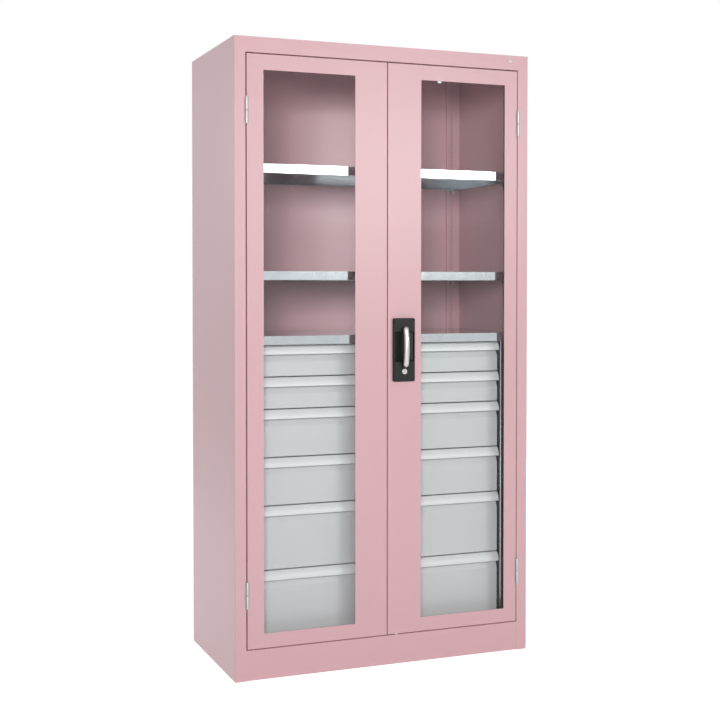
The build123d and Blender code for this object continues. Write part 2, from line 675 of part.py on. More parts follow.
def lock_barrel():
    front, back = PLATE_FACE_Y - LOCK_PROUD, FRONT_Y + LOCK_TAIL
    barrel = cylinder_y(HANDLE_X, LOCK_Z, LOCK_RADIUS, front, back)
    front_rim = barrel.edges().filter_by(GeomType.CIRCLE).sort_by(Axis.Y)[0]
    barrel = fillet(front_rim, LOCK_PROUD / 2)
    return barrel - cylinder_y(HANDLE_X, LOCK_Z, PLUG_RADIUS + PLUG_CLEARANCE, front - SHEET, back + SHEET)


def lock_plug():
    """Plug with its key slot in front and a locking tongue on its tail."""
    face_y = PLATE_FACE_Y - LOCK_PROUD
    tongue_y = FRONT_Y + LOCK_TAIL + PLUG_CLEARANCE
    plug = cylinder_y(HANDLE_X, LOCK_Z, PLUG_RADIUS, face_y, tongue_y)
    slot_low = (HANDLE_X - KEY_SLOT_WIDTH / 2, face_y - SHEET, LOCK_Z - KEY_SLOT_HEIGHT / 2)
    slot_high = (HANDLE_X + KEY_SLOT_WIDTH / 2, face_y + KEY_SLOT_DEPTH, LOCK_Z + KEY_SLOT_HEIGHT / 2)
    tongue_low = (HANDLE_X - TONGUE_WIDTH / 2, tongue_y, LOCK_Z - TONGUE_LENGTH)
    tongue_high = (HANDLE_X + TONGUE_WIDTH / 2, tongue_y + TONGUE_THICKNESS, LOCK_Z + PLUG_RADIUS)
    return plug - block(slot_low, slot_high) + block(tongue_low, tongue_high)


def tooth_points(height_in, height_out):
    """Tooth on the +X side of its pitch line: half widths shrink from its foot to its head."""
    foot = TOOTH_HALF + TOOTH_TAPER * height_in
    head = TOOTH_HALF - TOOTH_TAPER * height_out
    return [(-height_in, -foot), (height_out, -head), (height_out, head), (-height_in, foot)]


def lever_pinion():
    """Pinion on the end of the spindle, which drives one bolt on each side."""
    root = PINION_PITCH_RADIUS - TOOTH_FOOT
    tooth = make_face(Polyline(*tooth_points(TOOTH_FOOT + SHEET, TOOTH_HEAD), close=True))
    section = Circle(root) + [
        Rot(0, 0, i * 360 / PINION_TEETH) * Pos(PINION_PITCH_RADIUS, 0) * tooth for i in range(PINION_TEETH)
    ]
    section -= Circle(SPINDLE_RADIUS + PINION_FIT)
    placed = Plane.XZ.offset(-BOLT_NEAR_Y) * Pos(HANDLE_X, PIVOT_Z) * section
    return extrude(placed, BOLT_THICKNESS, dir=(0, 1, 0))


def bolt(x, side, rack_low, rack_high, low, high):
    """Flat bolt with rack teeth towards the pinion, a tooth space being level with the pinion's middle."""
    near_edge, half = x - side * BOLT_WIDTH / 2, BOLT_WIDTH / 2
    bar = block((x - half, BOLT_NEAR_Y, low), (x + half, BOLT_FAR_Y, high))
    tooth = make_face(Polyline(*tooth_points(TOOTH_FOOT, TOOTH_HEAD), close=True))
    pitch_line = near_edge - side * TOOTH_FOOT
    first = math.ceil((rack_low - PIVOT_Z) / TOOTH_PITCH - 0.5)
    last = math.floor((rack_high - PIVOT_Z) / TOOTH_PITCH - 0.5)
    turn = Rot(0, 0, 180 if side > 0 else 0)
    for i in range(first, last + 1):
        z = PIVOT_Z + (i + 0.5) * TOOTH_PITCH
        placed = Plane.XZ.offset(-BOLT_NEAR_Y) * Pos(pitch_line, z) * turn * tooth
        bar += extrude(placed, BOLT_THICKNESS, dir=(0, 1, 0))
    return bar


def upper_bolt():
    low = PIVOT_Z - BOLT_THROW - RACK_MARGIN
    return bolt(UPPER_BOLT_X, 1, low, PIVOT_Z + RACK_MARGIN, low, UPPER_TIP_Z)


def lower_bolt():
    high = PIVOT_Z + BOLT_THROW + RACK_MARGIN
    return bolt(LOWER_BOLT_X, -1, PIVOT_Z - RACK_MARGIN, high, LOWER_TIP_Z, high)


def bolt_guides():
    """Eyes on the inside of the right door that the bolts slide through."""
    eye = BOLT_WIDTH / 2 + GUIDE_CLEARANCE
    outer = eye + GUIDE_WALL
    rear = BOLT_FAR_Y + GUIDE_CLEARANCE
    guides = []
    for x, tip, way in ((UPPER_BOLT_X, UPPER_TIP_Z, 1), (LOWER_BOLT_X, LOWER_TIP_Z, -1)):
        near_pivot = PIVOT_Z + way * GUIDE_FROM_PIVOT
        near_tip = tip - way * GUIDE_FROM_TIP
        for z in (near_pivot, (near_pivot + near_tip) / 2, near_tip):
            low, high = z - GUIDE_HEIGHT / 2, z + GUIDE_HEIGHT / 2
            body = block((x - outer, SKIN_INNER_Y, low), (x + outer, rear + GUIDE_WALL, high))
            hole = block((x - eye, BOLT_NEAR_Y - GUIDE_CLEARANCE, low), (x + eye, rear, high))
            guides.append(body - hole)
    return guides


# Every piece under its own name; a list is a group of like pieces
def all_nodes():
    right_side, left_side = both_sides(side_panel())
    right_housing, left_housing = both_sides(housing_side())
    shelf_upper, shelf_lower = [shelf(top, SHELF_SETBACK) for top in SHELF_TOPS]
    nodes = {
        "side_panel_left": left_side,
        "side_panel_right": right_side,
        "back_panel": back_panel(),
        "top_panel": top_panel(),
        "top_rail": top_rail(),
        "plinth": plinth(),
        "floor_panel": floor_panel(),
        "uprights_front": both_sides(front_upright()),
        "uprights_rear": both_sides(rear_upright()),
        "levelling_feet": feet(),
        "shelf_upper": shelf_upper,
        "shelf_lower": shelf_lower,
        "shelf_clips": shelf_clips(),
        "drawer_cover": shelf(COVER_TOP, COVER_SETBACK),
        "housing_left": left_housing,
        "housing_right": right_housing,
        "housing_rails": housing_rails(),
        "hinge_post_halves": post_knuckles(),
        "hinge_pins": hinge_pins(),
        "door_left_skin": door_skin(-1),
        "door_right_skin": right_door_skin(),
        "handle_plate": handle_plate(),
        "handle_lever": handle_lever(),
        "lever_pinion": lever_pinion(),
        "lock_barrel": lock_barrel(),
        "lock_plug": lock_plug(),
        "bolt_upper": upper_bolt(),
        "bolt_lower": lower_bolt(),
        "bolt_guides": bolt_guides(),
    }
    for side, name in ((-1, "left"), (1, "right")):
        nodes[f"door_{name}_pane"] = door_pane(side)
        nodes[f"door_{name}_pane_clips"] = pane_clips(side)
        nodes[f"door_{name}_hinge_halves"] = door_knuckles(side)
    for number, (low, high) in enumerate(drawer_levels(), start=1):
        nodes[f"drawer_{number}_front"] = drawer_front(low, high)
        nodes[f"drawer_{number}_grip"] = drawer_grip(high)
        nodes[f"drawer_{number}_tray"] = drawer_tray(low, high)
        nodes[f"drawer_{number}_runners"] = drawer_runners(low)
    return nodes


os.makedirs("parts", exist_ok=True)
for name, shape in all_nodes().items():
    solids = shape if isinstance(shape, list) else [shape]
    export_step(Compound(children=[s for piece in solids for s in piece.solids()]), f"parts/{name}.step")
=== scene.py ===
# Looks of a steel storage cabinet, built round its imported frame. Metres, +Z up, -Y to the front.
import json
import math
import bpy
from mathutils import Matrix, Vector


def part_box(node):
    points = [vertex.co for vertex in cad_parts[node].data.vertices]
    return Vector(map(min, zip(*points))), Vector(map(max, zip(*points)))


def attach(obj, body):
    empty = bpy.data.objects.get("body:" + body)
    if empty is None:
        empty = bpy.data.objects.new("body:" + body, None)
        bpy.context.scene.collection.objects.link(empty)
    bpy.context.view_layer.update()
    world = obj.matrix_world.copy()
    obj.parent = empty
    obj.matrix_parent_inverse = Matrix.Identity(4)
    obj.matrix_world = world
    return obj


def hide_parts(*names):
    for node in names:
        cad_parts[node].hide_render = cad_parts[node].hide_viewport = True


bl_info = {
    "name": "Steel storage cabinet",
    "version": (1, 0, 0),
    "blender": (4, 5, 0),
    "location": "View3D > Sidebar > Cabinet",
    "description": "Finishes, fittings and stage for a steel cabinet with windowed doors",
    "category": "Object",
}

import bpy
import numpy as np
from bpy.props import FloatProperty, FloatVectorProperty, IntProperty, PointerProperty

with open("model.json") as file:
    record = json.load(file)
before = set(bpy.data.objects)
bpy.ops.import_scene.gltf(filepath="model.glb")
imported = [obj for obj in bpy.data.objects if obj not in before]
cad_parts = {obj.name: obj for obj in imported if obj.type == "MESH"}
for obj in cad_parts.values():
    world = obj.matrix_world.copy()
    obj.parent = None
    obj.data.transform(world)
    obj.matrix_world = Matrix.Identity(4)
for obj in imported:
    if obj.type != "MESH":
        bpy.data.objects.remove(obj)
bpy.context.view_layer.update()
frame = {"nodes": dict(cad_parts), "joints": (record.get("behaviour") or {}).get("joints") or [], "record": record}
MM = 0.001
# Edges that turn by more than this stay sharp.
CREASE = math.radians(50)
JOINTS = {joint["name"]: joint for joint in frame["joints"]}


def linear(hex_colour):
    """sRGB hex to linear RGB: the straight foot of the curve below 0.04045 and its 2.4 power above."""
    values = np.array([int(hex_colour[i : i + 2], 16) / 255 for i in (0, 2, 4)])
    return tuple(np.where(values <= 0.04045, values / 12.92, ((values + 0.055) / 1.055) ** 2.4))


def colour_property(name, description, hex_colour):
    return FloatVectorProperty(
        name=name, description=description, subtype="COLOR", size=3, min=0, max=1, default=linear(hex_colour)
    )


def length_property(name, description, millimetres):
    return FloatProperty(name=name, description=description, default=millimetres * MM, min=0, unit="LENGTH")


def angle_property(name, description, degrees):
    return FloatProperty(name=name, description=description, default=math.radians(degrees), subtype="ANGLE")


def power_property(name, description, watts):
    return FloatProperty(name=name, description=description, default=watts, min=0, subtype="POWER")


class CabinetColours(bpy.types.PropertyGroup):
    """Colours that a user would change."""

    carcass: colour_property("Carcass paint", "Powder coat of carcass and doors", "DAB0B6")
    drawer: colour_property("Drawer paint", "Powder coat of the drawers", "CCD0D1")
    # Lighter than the drawer paint: partly the rails' own coat, and partly painted light, standing in for the
    # light from above on their upturned faces.
    grip: colour_property("Grip paint", "Powder coat of the drawers' grip rails", "E2E5E6")
    zinc: colour_property("Galvanised sheet", "Zinc coat of shelves and runners", "BAC0C4")
    hinge: colour_property("Plated steel", "Zinc plate of hinges, bolts and pinion", "ABAFAF")
    nickel: colour_property("Satin nickel", "Plate of lever and lock", "B4B4B2")
    moulding: colour_property("Black moulding", "Plastic of handle plate and feet", "141516")
    clip: colour_property("White moulding", "Plastic of the pane clips", "F1F2F0")
    pane: colour_property("Pane", "Clear acrylic of the windows", "E9F0F0")
    floor: colour_property("Floor", "Studio floor", "FBFBFB")


class CabinetSizes(bpy.types.PropertyGroup):
    """Sizes of the fittings that are made here."""

    lever_radius: length_property("Lever radius", "Half the thickness of the bow lever", 9.5)
    lever_bulge: length_property("Lever bulge", "How far the bow stands out at its middle", 6.5)
    spindle_radius: length_property("Spindle radius", "Half the thickness of the lever's spindle", 5.0)
    spindle_chamfer: length_property("Spindle chamfer", "Chamfer of the spindle's end", 0.6)
    plate_edge: length_property("Plate edge", "Rounding of the handle plate's front edge", 2.5)
    plate_corner: length_property("Plate corner", "Rounding of the handle plate's corners", 5.0)
    dish_wall: length_property("Dish wall", "Wall left of and right of the finger dish", 3.0)
    dish_low: length_property("Dish below", "Lower end of the dish, below the plate's middle", 39.0)
    dish_high: length_property("Dish above", "Upper end of the dish, above the plate's middle", 58.0)
    dish_steep: length_property("Dish fall", "Height of the steep upper end of the dish", 3.5)
    dish_ramp: length_property("Dish ramp", "Height of the lower end of the dish", 8.0)
    dish_depth: length_property("Dish depth", "Depth of the finger dish", 10.0)
    hinge_length: length_property("Hinge length", "Length of a hinge, both halves together", 83.0)
    hinge_split: length_property("Hinge split", "Gap between the two halves of a hinge", 0.4)
    hinge_bore: length_property("Hinge bore", "Radius of the bore for the pin", 2.55)
    hinge_edge: length_property("Hinge edge", "Rounding of a barrel's ends", 1.5)
    hinge_leaf: length_property("Hinge leaf", "Thickness of a leaf", 1.2)
    door_gap: length_property("Door gap", "Gap between door and post, where the leaves lie", 3.0)
    badge_width: length_property("Blank plate", "Width of the blank plate on the top rail", 13.0)
    badge_height: length_property("Blank plate height", "Height of the blank plate", 5.2)
    badge_thickness: length_property("Blank plate thickness", "Thickness of the blank plate", 0.6)
    badge_rim: length_property("Blank plate rim", "Rounding of the blank plate's rim", 0.8)
    badge_across: length_property("Blank plate across", "Blank plate's place right of the middle", 438.0)
    badge_rise: length_property("Blank plate rise", "Blank plate's place above the rail's lower edge", 29.5)
    post_bend: length_property("Post bend", "Outer radius of the bend at a post's inner edge", 3.0)
    round_steps: IntProperty(name="Round steps", description="Faces round a turned piece", default=48, min=12)


class CabinetStage(bpy.types.PropertyGroup):
    """Camera and lamps."""

    camera_place: FloatVectorProperty(
        name="Camera",
        description="Camera place",
        size=3,
        subtype="TRANSLATION",
        default=(-1.5833, -3.9093, 1.2059),
    )
    camera_yaw: angle_property("Yaw", "Turn of the camera to the right", 21.5)
    camera_pitch: angle_property("Pitch", "Tilt of the camera upwards", -1.288)
    lens: FloatProperty(name="Lens", description="Focal length in millimetres", default=63.628, min=1)
    shift_across: FloatProperty(name="Shift across", description="Sideways shift of frame", default=0.0168)
    shift_up: FloatProperty(name="Shift up", description="Vertical shift of the frame", default=-0.065)
    sky: FloatProperty(name="Sky", description="Strength of light from all sides", default=0.12, min=0)
    key: power_property("Key", "Softbox in front, whose gloss shows on the doors", 49.0)
    middle: power_property("Middle", "Softbox in front of the cabinet's middle", 28.0)
    left: power_property("Left", "Softbox at the front left", 142.0)
    side: power_property("Side", "Softbox at the back left", 32.0)
    rear: power_property("Rear", "Softbox behind, for views from the back", 60.0)
    top: power_property("Top", "Small softbox over the roof, for views from above", 8.0)


# Meshes from arrays
def grid_faces(rows, columns, start=0, wrap=False, loop=False):
    """Quads of a grid stored row by row; wrap closes last column on first, loop closes last row on first."""
    row = np.arange(rows if loop else rows - 1)
    column = np.arange(columns if wrap else columns - 1)
    i, j = np.meshgrid(row, column, indexing="ij")
    here, above, k = i * columns, (i + 1) % rows * columns, (j + 1) % columns
    return np.stack([here + j, here + k, above + k, above + j], axis=-1).reshape(-1, 4) + start


def make_piece(name, shell, slot, body, replaced=()):
    """Object from a shell of points and faces, in its slot's finish, on a body and in place of nodes."""
    points, faces = shell
    mesh = bpy.data.meshes.new(name)
    mesh.from_pydata(np.asarray(points).tolist(), [], [list(face) for face in faces])
    mesh.validate()
    mesh.polygons.foreach_set("use_smooth", np.full(len(mesh.polygons), True))
    mesh.set_sharp_from_angle(angle=CREASE)
    mesh.materials.append(finishes()[slot])
    piece = bpy.data.objects.new(name, mesh)
    bpy.context.scene.collection.objects.link(piece)
    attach(piece, body)
    if replaced:
        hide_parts(*replaced)
    return piece


def joined(shells):
    """Several shells as one: each shell's faces move on by the count of points before it."""
    starts = np.cumsum([0] + [len(points) for points, faces in shells])
    faces = []
    for (_, shell), start in zip(shells, starts):
        faces += [[corner + start for corner in face] for face in shell]
    return np.concatenate([points for points, _ in shells]), faces


def tube(path, radii, across, steps):
    """Closed skin of round sections: each path point carries a ring of its own radius.

    A ring is centre + radius * (cos a * across + sin a * side), with side normal to path and across.
    The first and last ring are closed by a fan on the path's end points.
    """
    path, radii = np.asarray(path, float), np.asarray(radii, float)
    tangent = np.gradient(path, axis=0)
    tangent /= np.linalg.norm(tangent, axis=1, keepdims=True)
    side = np.cross(tangent, across)
    side /= np.linalg.norm(side, axis=1, keepdims=True)
    angle = np.linspace(0, 2 * math.pi, steps, endpoint=False)
    ring = np.cos(angle)[None, :, None] * np.asarray(across)[None, None, :]
    ring = ring + np.sin(angle)[None, :, None] * side[:, None, :]
    rings = path[:, None, :] + radii[:, None, None] * ring
    here = np.arange(steps)
    beside = (here + 1) % steps
    count = len(path) * steps
    last = count - steps
    first_fan = np.stack([beside, here, np.full(steps, count)], axis=-1)
    last_fan = np.stack([here + last, beside + last, np.full(steps, count + 1)], axis=-1)
    faces = grid_faces(len(path), steps, wrap=True).tolist() + first_fan.tolist() + last_fan.tolist()
    return np.concatenate([rings.reshape(-1, 3), path[[0, -1]]]), faces


def slab(front, back):
    """Closed body between two grids of the same shape: both skins, and a wall that joins their borders."""
    rows, columns = front.shape[:2]
    count = rows * columns
    index = np.arange(count).reshape(rows, columns)
    border = np.concatenate([index[0, :-1], index[:-1, -1], index[-1, :0:-1], index[:0:-1, 0]])
    following = np.roll(border, -1)
    wall = np.stack([following, border, border + count, following + count], axis=-1)
    faces = np.concatenate([grid_faces(rows, columns), grid_faces(rows, columns, count)[:, ::-1], wall])
    return np.concatenate([front.reshape(-1, 3), back.reshape(-1, 3)]), faces


def knuckle(axis, low, high, radius, leaf, reach, sizes):
    """Hinge barrel and leaf in one skin: an outline carried up the axis, and the bore's circle inside.

    The outline is a circle, open between the leaf's two faces, and the leaf's far edge, which lies at reach.
    At both ends the circle shrinks by a quarter round. The bore has a point for each point of the outline.
    """
    first, last = math.acos(leaf[0] / radius), math.acos(leaf[1] / radius)
    arc = np.linspace(first, last + 2 * math.pi, sizes.round_steps)
    spread = np.linspace(last, first, 4)[1:3] + 2 * math.pi
    quarter = np.linspace(0, math.pi / 2, 6)
    rise = sizes.hinge_edge * (1 - np.cos(quarter))
    heights = np.concatenate([low + rise, high - rise[::-1]])
    shrink = sizes.hinge_edge * (1 - np.sin(quarter))
    rounds = radius - np.concatenate([shrink, shrink[::-1]])
    circle = rounds[:, None, None] * np.stack([np.cos(arc), np.sin(arc)], axis=-1)
    edge = np.tile([[leaf[1], reach], [leaf[0], reach]], (len(rounds), 1, 1))
    outline = np.concatenate([circle, edge], axis=1)
    angle = np.concatenate([arc, spread])
    bore = sizes.hinge_bore * np.stack([np.cos(angle), np.sin(angle)], axis=-1)
    rows = np.concatenate([bore[None], outline, bore[None]])
    levels = np.concatenate([[low], heights, [high]])
    flat = rows + np.asarray(axis)
    tall = np.broadcast_to(levels[:, None, None], rows.shape[:2] + (1,))
    points = np.concatenate([flat, tall], axis=-1)
    return points.reshape(-1, 3), grid_faces(len(rows), rows.shape[1], wrap=True, loop=True)


# Materials
def add_node(tree, kind, inputs=(), **settings):
    """Adds a node; settings are its properties, and inputs pairs a socket with a value or another socket."""
    made = tree.nodes.new("ShaderNode" + kind)
    for name, value in settings.items():
        setattr(made, name, value)
    for socket, value in dict(inputs).items():
        if isinstance(value, bpy.types.NodeSocket):
            tree.links.new(value, made.inputs[socket])
        else:
            made.inputs[socket].default_value = value
    return made


def new_material(name):
    """Empty node material with its output and the Object coordinates that its patterns read."""
    material = bpy.data.materials.new(name)
    material.use_nodes = True
    tree = material.node_tree
    tree.nodes.clear()
    output = add_node(tree, "OutputMaterial")
    return material, tree, output, add_node(tree, "TexCoord").outputs["Object"]


def tone(tree, colour, factor, spread):
    """Colour made lighter and darker by a pattern: the colour times one plus or minus half the spread."""
    low = tuple(c * (1 - spread / 2) for c in colour) + (1,)
    high = tuple(min(1, c * (1 + spread / 2)) for c in colour) + (1,)
    # Of the Mix node's sockets, 6 and 7 are its two colours and 2 is the mixed colour.
    return add_node(tree, "Mix", {0: factor, 6: low, 7: high}, data_type="RGBA").outputs[2]


def spread_value(tree, pattern, low, high):
    """A pattern's 0 to 1 carried to a range."""
    return add_node(tree, "MapRange", {"Value": pattern, "To Min": low, "To Max": high}).outputs["Result"]


def finish(tree, output, inputs):
    """Ends a material: one principled shader with the given inputs, linked to the output."""
    shader = add_node(tree, "BsdfPrincipled", inputs)
    tree.links.new(shader.outputs["BSDF"], output.inputs["Surface"])


def powder_coat(name, colour, roughness):
    """Polyester powder coat, sprayed on sheet steel and baked: an even satin skin with a faint orange peel.

    The real peel is 2 to 3 mm wide, drawn here at 6 mm so that it shows. The coat's thickness clouds the
    colour by a percent or two over about 300 mm.
    """
    material, tree, output, place = new_material(name)
    cloud = add_node(tree, "TexNoise", {"Vector": place, "Scale": 1 / 0.3, "Detail": 2.0})
    peel = add_node(tree, "TexNoise", {"Vector": place, "Scale": 1 / 0.006, "Detail": 1.0, "Roughness": 0.4})
    bump = add_node(tree, "Bump", {"Height": peel.outputs["Fac"], "Strength": 0.12, "Distance": 0.0004})
    inputs = {
        "Base Color": tone(tree, colour, cloud.outputs["Fac"], 0.03),
        "Roughness": spread_value(tree, peel.outputs["Fac"], roughness - 0.03, roughness + 0.03),
        "IOR": 1.5,
        "Normal": bump.outputs["Normal"],
    }
    finish(tree, output, inputs)
    return material


def galvanised_sheet(name, colour):
    """Hot-dip galvanised steel: zinc crystals of about 12 mm, each in its own grey, and rolling lines."""
    material, tree, output, place = new_material(name)
    crystals = add_node(tree, "TexVoronoi", {"Vector": place, "Scale": 1 / 0.012, "Randomness": 1.0})
    grey = add_node(tree, "SeparateColor", {"Color": crystals.outputs["Color"]}).outputs["Red"]
    # Rolling lines run along X: 250 mm long and 2.5 mm apart, where the real ones are finer.
    lines = add_node(tree, "Mapping", {"Vector": place, "Scale": (1 / 0.25, 1 / 0.0025, 1 / 0.0025)})
    rolled = add_node(tree, "TexNoise", {"Vector": lines.outputs["Vector"], "Scale": 1.0, "Detail": 2.0})
    bump = add_node(tree, "Bump", {"Height": rolled.outputs["Fac"], "Strength": 0.02, "Distance": 0.0002})
    inputs = {
        "Base Color": tone(tree, colour, grey, 0.03),
        "Metallic": 1.0,
        "Roughness": spread_value(tree, grey, 0.11, 0.14),
        "Normal": bump.outputs["Normal"],
    }
    finish(tree, output, inputs)
    return material


def plated_metal(name, colour, roughness, grain):
    """Plated metal, brushed or tumbled before plating: lines or mottling of that grain break its gloss."""
    material, tree, output, place = new_material(name)
    drawn = add_node(tree, "Mapping", {"Vector": place, "Scale": tuple(1 / size for size in grain)})
    lines = add_node(tree, "TexNoise", {"Vector": drawn.outputs["Vector"], "Scale": 1.0, "Detail": 3.0})
    bump = add_node(tree, "Bump", {"Height": lines.outputs["Fac"], "Strength": 0.1, "Distance": 0.0002})
    inputs = {
        "Base Color": tone(tree, colour, lines.outputs["Fac"], 0.06),
        "Metallic": 1.0,
        "Roughness": spread_value(tree, lines.outputs["Fac"], roughness - 0.05, roughness + 0.05),
        "Normal": bump.outputs["Normal"],
    }
    finish(tree, output, inputs)
    return material


def moulded_plastic(name, colour, roughness, grain, ior):
    """Injection-moulded ABS: its tool's spark-eroded grain, really about 0.4 mm, drawn at the given size."""
    material, tree, output, place = new_material(name)
    pattern = {"Vector": place, "Scale": 1 / grain, "Detail": 3.0, "Roughness": 0.6}
    sparks = add_node(tree, "TexNoise", pattern)
    bump = add_node(tree, "Bump", {"Height": sparks.outputs["Fac"], "Strength": 0.2, "Distance": 0.0003})
    inputs = {
        "Base Color": tone(tree, colour, sparks.outputs["Fac"], 0.12),
        "Roughness": spread_value(tree, sparks.outputs["Fac"], roughness - 0.06, roughness + 0.06),
        "IOR": ior,
        "Normal": bump.outputs["Normal"],
    }
    finish(tree, output, inputs)
    return material


def clear_acrylic(name, colour):
    """Clear cast acrylic sheet: nearly invisible, with a faint waviness in its gloss."""
    material, tree, output, place = new_material(name)
    waves = add_node(tree, "TexNoise", {"Vector": place, "Scale": 1 / 0.15, "Detail": 1.0})
    bump = add_node(tree, "Bump", {"Height": waves.outputs["Fac"], "Strength": 0.02, "Distance": 0.001})
    inputs = {
        "Base Color": tone(tree, colour, waves.outputs["Fac"], 0.01),
        "Roughness": 0.03,
        "IOR": 1.49,
        "Alpha": 0.02,
        "Normal": bump.outputs["Normal"],
    }
    finish(tree, output, inputs)
    return material


FINISHES = {}


def finishes():
    """The cabinet's materials by slot, made on first use."""
    if not FINISHES:
        colours = bpy.context.scene.cabinet_colours
        FINISHES.update(
            carcass_paint=powder_coat("carcass_powder_coat", colours.carcass, 0.33),
            drawer_paint=powder_coat("drawer_powder_coat", colours.drawer, 0.4),
            # The grip coat is made lighter than the drawers' as painted light from above on the rails' upturned
            # faces.
            grip_rail=powder_coat("grip_coat_and_painted_light", colours.grip, 0.36),
            galvanised_steel=galvanised_sheet("galvanised_sheet", colours.zinc),
            clear_pane=clear_acrylic("clear_acrylic", colours.pane),
            white_plastic=moulded_plastic("white_moulding", colours.clip, 0.45, 2 * MM, 1.5),
            black_plastic=moulded_plastic("black_abs", colours.moulding, 0.42, 1.5 * MM, 1.33),
            satin_metal=plated_metal("satin_nickel", colours.nickel, 0.28, (1.1 * MM, 1.1 * MM, 17 * MM)),
            zinc_steel=plated_metal("zinc_plate", colours.hinge, 0.5, (2 * MM, 2 * MM, 2 * MM)),
        )
    return FINISHES


class CABINET_OT_finish_nodes(bpy.types.Operator):
    """Gives every piece of the frame the finish of its slot"""

    bl_idname = "cabinet.finish_nodes"
    bl_label = "Finish sheet metal"

    def execute(self, context):
        for part in frame["record"]["subparts"]:
            mesh = frame["nodes"][part["node"]].data
            mesh.materials.clear()
            mesh.materials.append(finishes()[part["material_slot"]])
        return {"FINISHED"}


class CABINET_OT_hinges(bpy.types.Operator):
    """Makes the halves of the lift-off hinges, with rounded barrels"""

    bl_idname = "cabinet.hinges"
    bl_label = "Hinges"

    def execute(self, context):
        sizes = context.scene.cabinet_sizes
        low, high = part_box("hinge_post_halves")
        half, half_split = sizes.hinge_length / 2, sizes.hinge_split / 2
        centres = (low[2] + half, high[2] + half_split)
        post_halves = []
        for side, name in ((-1, "left"), (1, "right")):
            axis = JOINTS[f"door_{name}_swing"]["pos_m"][:2]
            radius, reach = axis[1] - low[1], high[1] - axis[1]
            # A leaf lies against its post or its door, so the two leaves of a hinge keep apart.
            outer, inner = sizes.door_gap / 2, sizes.door_gap / 2 - sizes.hinge_leaf
            post_leaf = sorted((side * inner, side * outer))
            door_leaf = sorted((-side * inner, -side * outer))
            door_halves = []
            for z in centres:
                post_halves.append(knuckle(axis, z - half, z - half_split, radius, post_leaf, reach, sizes))
                door_halves.append(knuckle(axis, z + half_split, z + half, radius, door_leaf, reach, sizes))
            door = f"door_{name}"
            replaced = [f"{door}_hinge_halves"]
            make_piece(f"{door}_hinge_barrels", joined(door_halves), "zinc_steel", door, replaced)
        make_piece("post_hinge_barrels", joined(post_halves), "zinc_steel", "cabinet", ["hinge_post_halves"])
        return {"FINISHED"}


class CABINET_OT_lever(bpy.types.Operator):
    """Makes the bow lever with its spindle"""

    bl_idname = "cabinet.lever"
    bl_label = "Bow lever"

    def execute(self, context):
        sizes = context.scene.cabinet_sizes
        pivot = JOINTS["lever_turn"]["pos_m"]
        low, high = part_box("handle_lever")
        radius, bulge = sizes.lever_radius, sizes.lever_bulge
        top, bottom = pivot[2], low[2] + radius
        half = (top - bottom) / 2
        bend = (half**2 + bulge**2) / (2 * bulge)
        # The bow is an arc of that bend. Past its ends the section shrinks to a round nose with a small flat.
        reach = math.asin(half / bend)
        nose_end, nose_rings, bow_rings = math.radians(84), 10, 41
        nose_turn = np.linspace(0, nose_end, nose_rings + 1)[1:]
        nose, shrink = np.sin(nose_turn), np.cos(nose_turn)
        middle = np.linspace(-reach, reach, bow_rings)
        turn = np.concatenate([-reach - nose[::-1] * radius / bend, middle, reach + nose * radius / bend])
        radii = radius * np.concatenate([shrink[::-1], np.ones(len(middle)), shrink])
        end_y = low[1] + bulge + radius
        bow_y = end_y - bulge + bend * (1 - np.cos(turn))
        bow_z = (top + bottom) / 2 + bend * np.sin(turn)
        bow_path = np.stack([np.full(len(turn), pivot[0]), bow_y, bow_z], axis=-1)
        bar = tube(bow_path, radii, (1, 0, 0), sizes.round_steps)
        stations = np.array([end_y, high[1] - sizes.spindle_chamfer, high[1]])
        spindle_path = np.stack([np.full(3, pivot[0]), stations, np.full(3, pivot[2])], axis=-1)
        rounds = sizes.spindle_radius - np.array([0, 0, sizes.spindle_chamfer])
        spindle = tube(spindle_path, rounds, (1, 0, 0), sizes.round_steps)
        make_piece("bow_lever", joined([bar, spindle]), "satin_metal", "lever", ["handle_lever"])
        return {"FINISHED"}


